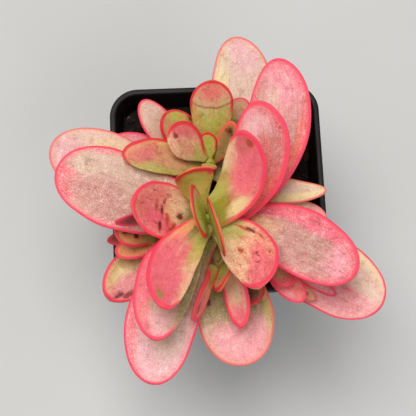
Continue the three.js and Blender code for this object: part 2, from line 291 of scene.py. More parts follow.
LEAVES = {
    "main_1_west": leaf(MAIN, 91.7, (-9.6, -14.2, 105), 16.5, base=0.7, widest=0.45, tip_power=2.6,
        facing=189, start=1.3, cup=0.04, thick=0.6),
    "main_1_east": leaf(MAIN, 92, (-1.6, -22.8, 105), 18.5, bow=-0.6, base=0.45, widest=0.5, tip_power=2.6,
        facing=15, start=1.3, cup=0.04, thick=0.6),
    "main_2_north": leaf(MAIN, 87.4, (5.6, 6.3, 108), 13.6, arch=-1, bow=-5.5, base=0.72, widest=0.52,
        tip_power=2.6, hug=0.08),
    "main_2_south": leaf(MAIN, 87.8, (-18, -44.6, 105), 14, arch=-1, bow=-4, base=0.5, widest=0.5, hug=0.1),
    "main_3_west": leaf(MAIN, 83.7, (-27, -12.2, 101), 17.8, arch=-2, base=0.34, widest=0.5, hug=0.15),
    "main_3_north": leaf(MAIN, 85.9, (-8.2, -2.7, 101.2), 11.8, arch=-2.9, bow=0.8, base=0.18, widest=0.82,
        tip_power=2.6, facing=104, start=2, thick=0.55),
    "main_3_east": leaf(MAIN, 83.9, (8.2, -38.8, 99), 16.2, arch=-2, bow=5, base=0.4, widest=0.5, hug=0.25),
    "main_4_north": leaf(MAIN, 80.6, (11, 17.7, 100), 18, arch=1, bow=-7.8, base=0.6, hug=0.3),
    "main_4_south": leaf(MAIN, 80.8, (-21, -52, 92), 18, arch=1, bow=-4.8, base=0.45, widest=0.55,
        hug=0.12),
    "main_5_west": leaf(MAIN, 77, (-50.3, 2.6, 88), 24.5, arch=1, bow=0.5, base=0.5),
    "main_5_east": leaf(MAIN, 77, (39, -35, 86), 21, arch=1, bow=4.2, base=0.3, widest=0.6, tip_power=2.4),
    "main_6_north": leaf(MAIN, 73.5, (19, 35, 89), 20.5, arch=1, bow=-9.4, base=0.5),
    "main_6_south": leaf(MAIN, 73.5, (-22.2, -64, 78), 22.4, arch=1, bow=-5, base=0.48),
    "main_7_west": leaf(MAIN, 70, (-53, 11.7, 80), 23.5, arch=1, bow=-1.5, base=0.5),
    "main_7_east": leaf(MAIN, 59.6, (49.4, -42.5, 71), 24, bow=2.4, base=0.2, widest=0.7),
    "main_8_south": leaf(MAIN, 63, (6.2, -58.7, 70), 24.5, arch=1, base=0.32, tip_power=2.4, cup=0.05),
    "main_8_east": leaf(MAIN, 65.7, (34.6, -13.5, 69.3), 14.6, arch=1),
    "main_side_west": leaf(MAIN, 79.4, (-32.6, -15.8, 91), 7.4, arch=-0.7, bow=-3.1, base=0.28, widest=0.75,
        facing=110, start=2.5, thick=0.48),
    "back_1_south": leaf(BACK, 82, (-3.5, 0.6, 88), 5, start=1.5, thick=0.8),
    "back_1_north": leaf(BACK, 77.6, (-3.6, 13.4, 84), 6, base=0.25, start=1.5, thick=0.65),
    "back_2_west": leaf(BACK, 80, (-14.7, 13.9, 90), 11.4, bow=0.2, base=0.2, widest=0.6, facing=145,
        start=2, thick=0.7),
    "back_2_east": leaf(BACK, 74.8, (4.6, 15.2, 88), 6.3, bow=-1, base=0.28, thick=0.66),
    "back_3_north": leaf(BACK, 72.4, (-1.2, 27.6, 92), 13.4, base=0.15, widest=0.75, thick=0.8),
    "back_4_west": leaf(BACK, 75, (-30, 6.1, 88.5), 12, arch=2, bow=-0.2, base=0.2, widest=0.5, facing=195,
        start=1.6, thick=0.7),
    "back_5_west": leaf(BACK, 70.3, (-16.5, 20.8, 82.2), 11.8, thick=0.72),
    "back_5_east": leaf(BACK, 68.8, (9.5, 26, 77.8), 10.5, base=0.25, start=2, thick=0.7),
    "back_6_west": leaf(BACK, 67.6, (-23.5, 26.4, 79), 10.3, bow=2.2, thick=0.75),
    "back_7_west": leaf(BACK, 64.7, (-36, 12.8, 76), 13.5),
    "back_7_east": leaf(BACK, 67.2, (34, -5, 76), 9.5, bow=-2.9, tip_power=1.4, widest=0.55, base=0.5,
        thick=0.8),
    "back_8_north": leaf(BACK, 61.4, (6, 48.3, 74), 20, arch=1, bow=-7),
    "front_1_west": leaf(FRONT, 77, (-10.5, -45.5, 84), 8.5, roll=-65, facing=230, start=2.3, thick=0.8),
    "front_1_east": leaf(FRONT, 77, (-2.2, -37, 85), 10, bow=2, roll=22, facing=310, start=2.3, thick=0.8),
    "front_2_south": leaf(FRONT, 74, (4.4, -47.8, 78), 8.4, bow=2, roll=25, tip_power=1.8, thick=0.8),
    "front_2_east": leaf(RIGHT, 70.4, (8.5, -40.5, 74.2), 9, base=0.2, start=2.4, thick=0.7),
    "right_1": leaf(RIGHT, 73.5, (20.5, -35.3, 78.5), 7, bow=0.5, base=0.2, start=2.6, thick=0.5),
    "right_2": leaf(RIGHT, 70.8, (23.9, -40.5, 76.4), 8.6, bow=1.2, base=0.17, start=2.3, thick=0.45),
    "right_3": leaf(RIGHT, 68.8, (28.5, -39.3, 72), 5, bow=-0.3, facing=300, base=0.2, thick=0.45),
    "right_4": leaf(RIGHT, 68.6, (35.3, -38.2, 72), 6, bow=3, facing=45, base=0.2, start=2.2, thick=0.5),
    "left_1": leaf(LEFT, 73, (-33.4, -16.6, 82), 9, bow=-0.5, thick=0.55),
    "left_2": leaf(LEFT, 69.4, (-33.8, -22.2, 74.8), 8, base=0.25, thick=0.5),
    "left_3": leaf(LEFT, 67.2, (-27.8, -23.1, 70.2), 5, base=0.3, facing=250, thick=0.5),
    "left_4": leaf(LEFT, 66.9, (-36.6, -17.3, 69.6), 6, base=0.3, facing=150, thick=0.55),
    "left_5": leaf(MAIN, 59.5, (-36.8, -36, 70), 16.5, arch=-1, bow=-2.5, thick=1.5),
}

# Screen colours of the leaf flesh
DEEP_LIME, LIME, OLIVE, DARK_OLIVE = (156, 148, 34), (186, 182, 84), (148, 134, 66), (104, 94, 46)
FRESH, SHADOW, BLACK = (190, 196, 78), (150, 120, 110), (0, 0, 0)
# the frost colours are the leaves' white bloom; the third colour of this row is a painted highlight
FROST, FINE_FROST, PAINTED_GLINT = (255, 240, 226), (255, 244, 234), (255, 246, 238)
BUTTER, CREAM, APRICOT, SAND = (246, 226, 164), (240, 202, 152), (250, 178, 116), (230, 198, 158)
PALE, BEIGE, GREY_ROSE, TAN = (232, 196, 174), (216, 168, 150), (204, 136, 124), (214, 158, 112)
SHELL, PINK, CORAL, ROSE = (236, 174, 174), (240, 146, 156), (242, 118, 106), (236, 90, 116)
DULL_ROSE, RED, HOT, SALMON = (222, 106, 104), (226, 40, 54), (250, 62, 92), (248, 108, 122)
# the third colour of this row is a rose painted brighter than the leaves' own, as painted light
OATMEAL, DUSK, BLUSH, FLAME = (218, 178, 154), (192, 128, 114), (250, 100, 122), (255, 112, 84)
MAROON, BROWN, RUST = (140, 50, 48), (92, 38, 26), (176, 78, 40)


def look(base, blade, edge, width, glow=0.6, inner=None, washes=(), streaks=0.4, veins=0,
         scars=0, bare=0, lean=0, rise=0.2, arc=0, frost=0.5):
    """Colours of one leaf: its foot, its blade, its margin (width in mm) and the glow inside the margin.

    A wash is a soft oval patch: its middle along the leaf and across it (the leaf's left is positive),
    its reach along and across, and its colour. Bare is the side without a red margin, 1 for the left;
    lean widens the margin on the left; rise is where along the leaf the margin turns red;
    arc draws a fine line round the first wash.
    """
    return {"base": base, "blade": blade, "edge": edge, "width": width, "glow": glow,
            "inner": inner or edge, "washes": washes, "streaks": streaks, "veins": veins, "scars": scars,
            "bare": bare, "lean": lean, "rise": rise, "arc": arc, "frost": frost}


LOOKS = {
    "main_1_west": look(FRESH, FRESH, RED, 2.0, glow=0.5, inner=BUTTER,
        washes=((0.7, -0.8, 0.5, 0.5, TAN),), frost=0.2),
    "main_1_east": look(FRESH, FRESH, RED, 2.0, glow=0.5, inner=APRICOT, frost=0.2),
    # main_2_north: its rose wash is painted brighter than the leaf's own rose, as painted light for a leaf
    # that leans away from the light
    "main_2_north": look(DEEP_LIME, CREAM, HOT, 1.4, glow=0.5, washes=((0.1, 0.2, 0.26, 1.5, DEEP_LIME),
        (0.36, 0.85, 0.28, 0.6, LIME), (0.72, -0.25, 0.48, 0.95, BLUSH), (0.26, -0.6, 0.14, 0.45, BUTTER),
        (0.9, 0.1, 0.14, 0.5, DULL_ROSE)), veins=0.5, bare=1, lean=-0.4, frost=0.2),
    "main_2_south": look(OLIVE, CREAM, HOT, 1.3, glow=0.4, washes=((0.2, -0.6, 0.16, 0.4, APRICOT),
        (0.25, 0.6, 0.3, 0.5, LIME), (0.74, -0.26, 0.5, 1.02, ROSE)), veins=0.6, bare=1, lean=-0.3,
        frost=0.2),
    "main_3_west": look(OLIVE, CREAM, HOT, 1.3, inner=CORAL, washes=((0.06, 0, 0.2, 1.5, OLIVE),
        (0.9, -0.2, 0.4, 1.2, DULL_ROSE), (0.65, 0.5, 0.25, 0.5, ROSE)), streaks=0.8, veins=0.8, scars=1,
        frost=0.4),
    "main_3_north": look(FRESH, FRESH, RED, 2.6, glow=0.4, inner=CORAL, rise=0.86, frost=0.2),
    "main_3_east": look(DEEP_LIME, CREAM, HOT, 1.3, glow=0.5, washes=((0.12, 0, 0.22, 1.5, LIME),
        (0.84, 0.2, 0.4, 0.8, SALMON), (0.5, -0.5, 0.3, 0.5, CREAM)), streaks=0.9, veins=1, scars=0.7,
        bare=-1, lean=0.2, frost=0.5),
    "main_4_north": look(CORAL, DUSK, HOT, 1.5, glow=0.8, washes=((1.0, 0.2, 0.26, 1.0, SHELL),
        (0.45, 0, 0.35, 0.7, DULL_ROSE), (0.72, 0.5, 0.25, 0.4, SHELL), (0.3, -0.7, 0.3, 0.4, FLAME)),
        streaks=1, lean=-0.35),
    # main_4_south: the olive wash along its left side, where the red margin is left out, is painted shade on
    # the leaf's side face
    "main_4_south": look(OLIVE, BEIGE, HOT, 1.3, glow=0.5, washes=((0.97, -0.1, 0.2, 0.9, SHELL),
        (0.5, -0.7, 0.5, 0.5, SALMON), (0.45, 1.0, 0.5, 0.55, OLIVE)), bare=1),
    "main_5_west": look(LIME, OATMEAL, HOT, 1.1, glow=0.9, washes=((1.0, 0.4, 0.2, 0.8, SALMON),
        (0.62, 0.3, 0.3, 0.6, GREY_ROSE), (0.35, -0.2, 0.25, 0.6, OATMEAL)), frost=1.0),
    "main_5_east": look(OLIVE, DUSK, HOT, 1.4, glow=1.0, washes=((0.24, 0, 0.22, 0.8, TAN),
        (0.6, 0.75, 0.5, 0.4, ROSE), (0.98, 0, 0.22, 1.0, PINK), (0.65, -0.6, 0.25, 0.3, GREY_ROSE)),
        streaks=0.9, lean=0.2, frost=0.6),
    "main_6_north": look(GREY_ROSE, GREY_ROSE, HOT, 1.2, glow=0.9, washes=((1.0, -0.1, 0.3, 1.0, PINK),
        (0.36, -0.85, 0.36, 0.42, FLAME), (0.5, 0.4, 0.4, 0.5, OATMEAL)), streaks=0.8, lean=-0.25,
        frost=0.6),
    "main_6_south": look(LIME, SHELL, HOT, 1.0, glow=0.7, inner=SALMON,
        washes=((0.6, -0.95, 0.5, 0.3, SALMON), (0.65, 0.3, 0.25, 0.5, PALE)), streaks=0.3, frost=1.0),
    "main_7_west": look(CREAM, PALE, CORAL, 0.9, washes=((1.0, 0.2, 0.3, 1, SHELL),
        (0.5, -0.4, 0.3, 0.6, CREAM)), frost=1),
    "main_7_east": look(SAND, BUTTER, HOT, 0.9, inner=PINK, washes=((0.75, -0.45, 0.4, 0.7, PINK),
        (0.85, 0.4, 0.3, 0.4, PALE)), streaks=0.5, veins=0.3, frost=0.8),
    # main_8_south: the dark olive foot and the olive band across its middle are partly the leaf's own green
    # and partly painted shade from the leaves above
    "main_8_south": look(DARK_OLIVE, SAND, CORAL, 1.0, glow=0.5, washes=((0.5, 0.1, 0.28, 1.4, OLIVE),
        (0.98, 0, 0.34, 1.4, PINK), (0.55, 0.95, 0.35, 0.2, LIME)), frost=0.7),
    "main_8_east": look(OLIVE, SAND, CORAL, 0.8, glow=0.4, washes=((1, 0.3, 0.3, 0.8, PINK),)),
    "main_side_west": look(DARK_OLIVE, DARK_OLIVE, HOT, 1.3, washes=((0.9, 0, 0.4, 0.8, MAROON),),
        scars=0.4, frost=0.2),
    "back_1_south": look(FRESH, FRESH, CORAL, 0.5, glow=0.1, inner=LIME, rise=0.8, frost=0.1),
    "back_1_north": look(FRESH, FRESH, RED, 1.0, glow=0.4, inner=APRICOT, rise=0.5, frost=0.2),
    "back_2_west": look(LIME, CREAM, RED, 1.4, washes=((0.85, -0.5, 0.4, 0.9, DULL_ROSE),
        (0.5, 0.2, 0.25, 0.5, TAN), (0.2, -0.3, 0.2, 0.8, LIME)), streaks=0.9, veins=0.9, scars=0.5, bare=1,
        lean=-0.3, frost=0.4),
    "back_2_east": look(DEEP_LIME, OLIVE, FLAME, 1.1, inner=APRICOT, glow=0.5, veins=0.4, frost=0.2),
    "back_3_north": look(FRESH, FRESH, RED, 1.1, glow=0.4, inner=CORAL, washes=((1.08, 0, 0.42, 1.6, SAND),
        (1.0, 0, 0.26, 0.9, CORAL)), streaks=0, veins=0.5, rise=0.74, arc=1, frost=0.4),
    "back_4_west": look(LIME, LIME, RED, 1.2, glow=0.7, inner=APRICOT, washes=((0.45, 0, 0.3, 0.8, TAN),
        (0.95, -0.4, 0.42, 1.1, DULL_ROSE), (0.45, -0.9, 0.3, 0.3, APRICOT)), streaks=0.5, veins=0.4,
        scars=0.2, bare=1, lean=-0.4, frost=0.3),
    "back_5_west": look(FRESH, FRESH, RED, 1.2, glow=0.3, inner=APRICOT,
        washes=((0.8, 0.5, 0.36, 0.6, TAN),), streaks=0.2, veins=0.6, scars=0.2, lean=0.3, frost=0.3),
    # back_5_east: its dark olive foot and olive blade are painted shade, for a leaf lying in shadow; the red
    # margin is its own
    "back_5_east": look(DARK_OLIVE, OLIVE, HOT, 0.8, glow=0.3, washes=((1, 0, 0.3, 1, TAN),)),
    "back_6_west": look(LIME, PALE, HOT, 0.9, glow=0.5, inner=CORAL,
        washes=((0.55, -0.2, 0.45, 0.8, OATMEAL),), frost=0.8),
    "back_7_west": look(SHELL, PINK, HOT, 0.9, washes=((0.6, 0, 0.4, 0.8, SHELL),), frost=0.8),
    "back_7_east": look(LIME, BUTTER, CORAL, 0.8, glow=0.3, washes=((0.6, 0.3, 0.4, 0.6, PALE),),
        streaks=0.3, frost=1),
    "back_8_north": look(LIME, PALE, CORAL, 0.9, glow=0.5, washes=((0.5, 0.8, 0.45, 0.4, BUTTER),
        (0.9, -0.3, 0.2, 0.6, SHELL)), streaks=0.6, frost=1),
    "front_1_west": look(LIME, LIME, HOT, 2.0, inner=APRICOT, glow=0.4,
        washes=((0.9, 0.1, 0.55, 1.1, ROSE),), veins=0.4, scars=0.3, frost=0.3),
    "front_1_east": look(DEEP_LIME, LIME, RED, 1.1, inner=APRICOT, washes=((1, 0, 0.35, 1.2, CORAL),),
        frost=0.2),
    "front_2_south": look(LIME, SAND, HOT, 1.4, washes=((1.02, 0, 0.34, 1.1, ROSE),), veins=0.3, frost=0.4),
    "front_2_east": look(DEEP_LIME, OLIVE, RED, 1.0, washes=((0.9, 0, 0.3, 0.7, BROWN),), frost=0.2),
    "right_1": look(TAN, DULL_ROSE, HOT, 1.0, washes=((0.5, 0, 0.3, 0.6, TAN),)),
    "right_2": look(CREAM, PINK, HOT, 1.0, washes=((0.7, 0.3, 0.4, 0.7, CORAL),), scars=0.1),
    "right_3": look(OLIVE, TAN, CORAL, 0.7, glow=0.3, inner=APRICOT, scars=0.3),
    "right_4": look(TAN, DULL_ROSE, HOT, 0.9, washes=((0.9, 0, 0.3, 1.0, SHELL),), scars=0.6),
    # left_1 and left_2: their colours are painted lighter than the leaves' own, as painted light against the
    # shade under the large leaf above
    "left_1": look(LIME, LIME, HOT, 1.3, glow=0.5, inner=FLAME, washes=((0.6, 0.3, 0.3, 0.5, APRICOT),),
        streaks=0, scars=0.4, frost=0.3),
    "left_2": look(FRESH, APRICOT, HOT, 1.2, glow=0.6, inner=FLAME, washes=((0.5, -0.2, 0.3, 0.6, FRESH),),
        streaks=0.2, scars=0.3, frost=0.4),
    "left_3": look(LIME, LIME, CORAL, 0.9, inner=APRICOT, frost=0.2),
    "left_4": look(DARK_OLIVE, OLIVE, HOT, 0.9, washes=((0.8, 0, 0.4, 0.8, MAROON),), scars=0.3, frost=0.3),
    "left_5": look(LIME, CREAM, HOT, 1.2, inner=SALMON, washes=((0.5, -0.6, 0.5, 0.7, LIME),
        (0.66, -0.3, 0.25, 0.4, BUTTER), (0.85, 0.3, 0.28, 0.6, PINK)), streaks=0.7, veins=0.4, frost=0.8),
}

# Small marks, mostly brown: middle along and across the leaf, reach along and across, and colour
MARKS = {
    "main_2_north": ((0.9, -0.42, 0.04, 0.16, RUST),),
    "main_2_south": ((0.87, -0.42, 0.05, 0.26, OLIVE),),
    "main_3_west": ((0.5, 0.35, 0.03, 0.3, RUST), (0.42, 0.62, 0.05, 0.24, RUST),
        (0.58, 0.05, 0.02, 0.2, BROWN), (0.66, -0.1, 0.02, 0.2, MAROON), (0.34, 0.1, 0.035, 0.18, BROWN),
        (0.6, 0.6, 0.02, 0.2, BROWN)),
    "main_3_east": ((0.47, -0.25, 0.04, 0.1, RUST), (0.28, 0.5, 0.06, 0.07, RUST),
        (0.36, 0.62, 0.05, 0.06, BROWN), (0.46, 0.7, 0.05, 0.06, RUST), (0.6, 0.2, 0.02, 0.05, MAROON)),
    "main_8_south": ((0.52, -0.62, 0.03, 0.1, BROWN),),
    "main_5_east": ((0.2, 0.2, 0.05, 0.16, RUST),),
    "back_2_west": ((0.84, 0.25, 0.06, 0.16, MAROON),),
    "back_2_east": ((0.82, 0, 0.09, 0.4, BROWN),),
    "back_5_west": ((0.7, -0.85, 0.06, 0.16, BROWN), (0.8, 0.9, 0.05, 0.12, BROWN)),
    "left_1": ((0.72, -0.1, 0.1, 0.34, BROWN), (0.5, 0.2, 0.06, 0.2, BROWN)),
    "left_5": ((0.94, 0.4, 0.05, 0.2, BROWN), (0.86, 0.68, 0.07, 0.16, MAROON),
        (0.77, 0.84, 0.08, 0.12, BROWN)),
    "right_3": ((0.8, 0, 0.1, 0.4, BROWN),),
    "front_1_west": ((0.8, -0.2, 0.08, 0.2, MAROON),),
    "main_7_east": ((0.72, 0.2, 0.03, 0.08, DULL_ROSE), (0.8, -0.1, 0.03, 0.05, DULL_ROSE)),
}


# Leaves

ALONG_STEPS, AROUND_STEPS = 60, 48
TIP_CROWDING, LAST_SHARE = 1.6, 0.9995
SECTION_POWER = 2.5
BASE_FLARE, HUG_REACH, ROLLED_BY = 1.3, 0.5, 0.3
BASE_THICK, MIDDLE_THICK, TIP_THICK = 2.8, 2.6, 1.5
EDGE_THICK, EDGE_SLOPE = 0.25, 1.6
WAVE_SIZE, WAVE_TURNS, WAVE_PHASES, WAVE_LAG = 0.016, (7, 12), (0, 6), 2
RIPPLE_SIZE, RIPPLE_TURNS = 0.6, 2.3
DENT_DEPTH, DENT_WIDTH, DENT_ALONG, DENT_ACROSS, DENT_RISE = 0.22, 15, 7, 2.5, 3


def stem_point(points, height):
    """The point of a stem's centre line at a height."""
    after = next((i for i in range(1, len(points)) if points[i][2] >= height), len(points) - 1)
    low, high = np.array(points[after - 1][:3], float), np.array(points[after][:3], float)
    return low + (high - low) * (height - low[2]) / (high[2] - low[2])


def half_outline(share, base, widest, point):
    """Half width at a share of the length, against the widest half."""
    if share < widest:
        return base + (1 - base) * math.sin(share / widest * math.pi / 2) ** BASE_FLARE
    return math.sqrt(max(0.0, 1 - ((share - widest) / (1 - widest)) ** point))


def unit(vector):
    return vector / np.linalg.norm(vector)


def leaf_depth(share, thick, half):
    """Thickness in mm at a share of the length."""
    foot = BASE_THICK / max(thick, 1)
    if share < 0.5:
        depth = thick * (foot + (MIDDLE_THICK - foot) * share * 2)
    else:
        depth = thick * (MIDDLE_THICK + (TIP_THICK - MIDDLE_THICK) * (share * 2 - 1))
    return min(depth, EDGE_THICK + EDGE_SLOPE * half)


def leaf_line(row):
    """Base, middle and tip of a leaf's curved line, and the direction to the leaf's left."""
    tip = np.array(row["tip"], float)
    base = stem_point(row["stem"], row["height"])
    chord = tip - base
    facing = math.atan2(chord[1], chord[0]) if row["facing"] is None else math.radians(row["facing"])
    left = np.array((-math.sin(facing), math.cos(facing), 0))
    up = unit(np.cross(unit(chord), left))
    base = base + np.array((math.cos(facing), math.sin(facing), 0)) * row["start"]
    middle = (base + tip) / 2 + left * 2 * row["bow"] + up * 2 * row["arch"]
    return base, middle, tip, left


def leaf_frame(share, line, roll):
    """Place on a leaf's line at a share of it, with the directions across and up."""
    base, middle, tip, left = line
    place = (1 - share) ** 2 * base + 2 * share * (1 - share) * middle + share * share * tip
    tangent = unit(2 * (1 - share) * (middle - base) + 2 * share * (tip - middle))
    over = unit(left - tangent * left.dot(tangent))
    face = np.cross(tangent, over)
    turn = math.radians(roll) * min(1, share / ROLLED_BY)
    side = over * math.cos(turn) + face * math.sin(turn)
    top = face * math.cos(turn) - over * math.sin(turn)
    return place, side, top


def leaf_rings(row, wave):
    """Points in rings round a leaf, in mm, each with its place along, across and in from the margin."""
    line, width, phase = leaf_line(row), row["width"], wave["phase"]
    # finer steps towards the tip, where the outline turns
    shares = 1 - (1 - np.linspace(0, 1, ALONG_STEPS)) ** TIP_CROWDING
    shares[-1] = LAST_SHARE
    base, _, tip, _ = line
    length = np.linalg.norm(tip - base)
    shape = row["base"], row["widest"], row["tip_power"]
    outline = [(share * length, width / 2 * half_outline(share, *shape)) for share in shares]
    edge_points = np.array(outline + [(length, 0.0)])
    points, along, across, margin, under = [], [], [], [], []
    for share, (from_base, half) in zip(shares, outline):
        place, side, top = leaf_frame(share, line, row["roll"])
        depth = leaf_depth(share, row["thick"], half)
        curl = row["cup"] + row["hug"] * max(0, 1 - share / HUG_REACH)
        dent = wave["dent"] * math.sin(share * DENT_ALONG + phase)
        for k in range(AROUND_STEPS):
            angle = k / AROUND_STEPS * 2 * math.pi
            cosine, sine = math.cos(angle), math.sin(angle)
            x = math.copysign(abs(cosine) ** (2 / SECTION_POWER), cosine)
            y = math.copysign(abs(sine) ** (2 / SECTION_POWER), sine)
            turned = share * wave["turns"] + phase + (0 if cosine > 0 else WAVE_LAG)
            swell = 1 + WAVE_SIZE * (math.sin(turned) + RIPPLE_SIZE * math.sin(RIPPLE_TURNS * turned))
            lift = depth / 2 * y + curl * half * x * x
            lift += dent * math.cos(x * DENT_ACROSS + phase) * (1 - x * x) * min(1, share * DENT_RISE)
            points.append(place + side * (half * x * swell) + top * lift)
            gaps = np.hypot(edge_points[:, 0] - from_base, edge_points[:, 1] - abs(x) * half)
            along.append(share)
            across.append(x)
            margin.append(np.min(gaps))
            under.append(0.0 if sine >= 0 else 1.0)
    return np.array(points), {"along": along, "across": across, "margin": margin, "under": under}


# Leaf flesh

# noise scales, from broad patches to the finest grain
PATCHES, VEINS, MOTTLE, GLINTS, GRAIN = 130, 330, 420, 1500, 2600
# how a leaf's number shifts its textures
SEED_SHIFT, RAGGED_SHIFT, CRACK_SHIFT = (0.137, 0.071, 0.193), 3.1, 1.7
SHEEN = {"Subsurface_Weight": 0.12, "Subsurface_Scale": 0.002, "Subsurface_Radius": (1.0, 0.5, 0.35),
         "Specular_IOR_Level": 0.42, "Coat_Weight": 0.05, "Coat_Roughness": 0.4}


def toward(colour, other, share):
    """A colour some share of the way to another."""
    return tuple((1 - share) * a + share * b for a, b in zip(colour, other))


class LeafSkin(Nodes):
    """One leaf's flesh, painted layer on layer over the colour of its foot."""

    def __init__(self, name, style, seed):
        super().__init__("flesh_" + name)
        self.style, self.seed = style, seed
        self.shift([seed * share for share in SEED_SHIFT])
        self.along, self.across = self.attribute("along"), self.attribute("across")
        self.margin, self.under = self.attribute("margin"), self.attribute("under")
        if style["lean"]:
            widened = self.add(self.times(self.across, style["lean"]), 1.0)
            self.margin = self.math("DIVIDE", self.margin, widened)
        self.patches = self.noise(PATCHES, 3)
        self.mottle = self.noise(MOTTLE, 5, rough=0.65)
        self.grain = self.noise(GRAIN, 1.5, rough=0.6)
        self.fibres = self.noise(1.0, 4, at=self.drawn_out(4, 13, seed), rough=0.6)
        self.ragged = self.noise(1.0, 5, at=self.drawn_out(3, 7, seed * RAGGED_SHIFT), rough=0.7)
        self.wobble = self.swing(self.patches)
        self.colour = linear(style["base"])

    def drawn_out(self, along, across, layer):
        """A texture place that follows the leaf's length."""
        return self.vector(self.times(self.along, along), self.times(self.across, across), layer)

    def oval(self, place):
        """Distance from a place on the leaf, as a share of its reach."""
        out_along = self.math("DIVIDE", self.past(self.along, place[0]), place[2])
        out_across = self.math("DIVIDE", self.past(self.across, place[1]), place[3])
        squares = self.add(self.times(out_along, out_along), self.times(out_across, out_across))
        return self.math("SQRT", squares)

    def red_side(self):
        """Nothing on the side that the look leaves bare, all of it on the other."""
        return self.ramp(self.times(self.across, self.style["bare"]), 0.5, 0.2)

    def lay(self, share, colour, how="MIX"):
        """Lays a colour over what is there so far."""
        self.colour = self.mix(share, self.colour, linear(colour), how)

    def lay_blade(self):
        """The blade past the foot, in cooler and warmer patches."""
        blade = self.style["blade"]
        wobbled = self.add(self.along, self.times(self.wobble, 0.4))
        self.lay(self.ramp(wobbled, 0.12, 0.42), blade)
        self.lay(self.ramp(self.patches, 0.53, 0.7, 0, 0.4), toward(blade, OLIVE, 0.3))

    def lay_washes(self):
        """The look's soft patches, and a fine line round the first where the look has one."""
        rough_rim = self.add(self.times(self.swing(self.ragged), 1.1), self.times(self.wobble, 0.6))
        for wash in self.style["washes"]:
            out = self.add(self.oval(wash), rough_rim)
            self.lay(self.ramp(out, 1.2, 0.6, 0, 0.92), wash[4])
        arc = self.style["arc"]
        if arc:
            first = self.add(self.oval(self.style["washes"][0]), self.times(self.wobble, 0.2))
            from_line = self.math("ABSOLUTE", self.past(first, 0.92))
            self.lay(self.ramp(from_line, 0.05, 0.015, 0, 0.7 * arc), toward(MAROON, RUST, 0.5))

    def lay_glow(self):
        """A glow inside the margin, stronger towards the tip."""
        style, width = self.style, self.style["width"]
        near = self.add(self.margin, self.times(self.wobble, 2.6))
        share = self.times(self.ramp(near, width * 3, width * 0.6, 0, 0.8 * style["glow"]),
                           self.ramp(self.along, 0.1, 0.5, 0.2, 1))
        if style["bare"]:
            share = self.times(share, self.red_side())
        self.lay(share, toward(style["inner"], style["blade"], 0.25))

    def lay_speckles(self):
        """Dusky and milky fibres, blotches, frost, painted specks of highlight and pores."""
        blade, edge, streaks, frost = (self.style[key] for key in ("blade", "edge", "streaks", "frost"))
        dusky, milky = toward(blade, DULL_ROSE, 0.55), toward(blade, BUTTER, 0.6)
        self.lay(self.ramp(self.fibres, 0.5, 0.72, 0, 0.6 * streaks), dusky, "MULTIPLY")
        self.lay(self.ramp(self.fibres, 0.44, 0.28, 0, 0.3 * streaks), milky)
        self.lay(self.ramp(self.mottle, 0.52, 0.68, 0, 0.45), toward(blade, SHADOW, 0.4), "MULTIPLY")
        self.lay(self.ramp(self.mottle, 0.47, 0.32, 0, 0.36 * frost), FROST)
        self.lay(self.ramp(self.grain, 0.52, 0.66, 0, 0.36 * frost), FINE_FROST)
        # painted highlight: bright specks painted into the colour where the frost would sparkle
        painted_glints = self.ramp(self.noise(GLINTS, 2, rough=0.4), 0.63, 0.7, 0, 0.45 * frost)
        self.lay(self.times(painted_glints, self.ramp(self.fibres, 0.45, 0.6)), PAINTED_GLINT)
        pores = toward(BLACK, toward(blade, edge, 0.4), 0.72)
        self.lay(self.ramp(self.grain, 0.46, 0.32, 0, 0.22), pores)

    def lay_veins(self, strength):
        """Fine rose veins, away from the foot."""
        ridge = self.math("ABSOLUTE", self.swing(self.noise(VEINS, 3, rough=0.6, distort=1.2)))
        held = self.times(self.ramp(self.ragged, 0.35, 0.6), self.ramp(self.along, 0.2, 0.45))
        self.lay(self.times(self.ramp(ridge, 0.09, 0.02, 0, 0.65 * strength), held), toward(ROSE, RUST, 0.25))

    def lay_scars(self, strength):
        """Brown cracks with a rose fringe, away from the margin and the foot."""
        place = self.drawn_out(10, 4, self.seed * CRACK_SHIFT)
        cracks = self.noise(1.0, 6, at=place, rough=0.75, distort=0.9)
        held = self.times(self.ramp(self.margin, 0.8, 2.2), self.ramp(self.along, 0.2, 0.4))
        fringe = self.ramp(cracks, 0.6 - 0.07 * strength, 0.67 - 0.07 * strength, 0, 0.6)
        self.lay(self.times(fringe, held), DULL_ROSE)
        core = self.ramp(cracks, 0.655 - 0.07 * strength, 0.7 - 0.07 * strength, 0, 0.85)
        self.lay(self.times(core, held), toward(BROWN, RUST, 0.4))

    def lay_mark(self, mark):
        """One small mark with a torn rim and a redder fringe."""
        torn = self.add(self.times(self.swing(self.mottle), 3.5), self.times(self.swing(self.ragged), 2.0))
        spot = self.add(self.oval(mark), torn)
        self.lay(self.ramp(spot, 1.7, 0.9, 0, 0.45), toward(mark[4], self.style["edge"], 0.5))
        self.lay(self.ramp(spot, 1.1, 0.5, 0, 0.9), mark[4])

    def lay_margin(self):
        """The red line of the margin."""
        width, rise = self.style["width"], self.style["rise"]
        line = self.add(self.margin, self.times(self.swing(self.mottle), 0.9))
        share = self.times(self.ramp(line, width, width * 0.45, 0, 0.96),
                           self.ramp(self.along, rise - 0.18, rise))
        if self.style["bare"]:
            at_tip = self.ramp(self.along, 0.86, 0.96)
            share = self.times(share, self.math("MAXIMUM", self.red_side(), at_tip))
        self.lay(share, self.style["edge"])

    def relief(self):
        """Grain, mottle and fibres as surface relief."""
        normal = self.bump(self.grain, 0.00006, 0.5)
        normal = self.bump(self.mottle, 0.00035, 0.5, after=normal)
        return self.bump(self.fibres, 0.0004, 0.4, after=normal)


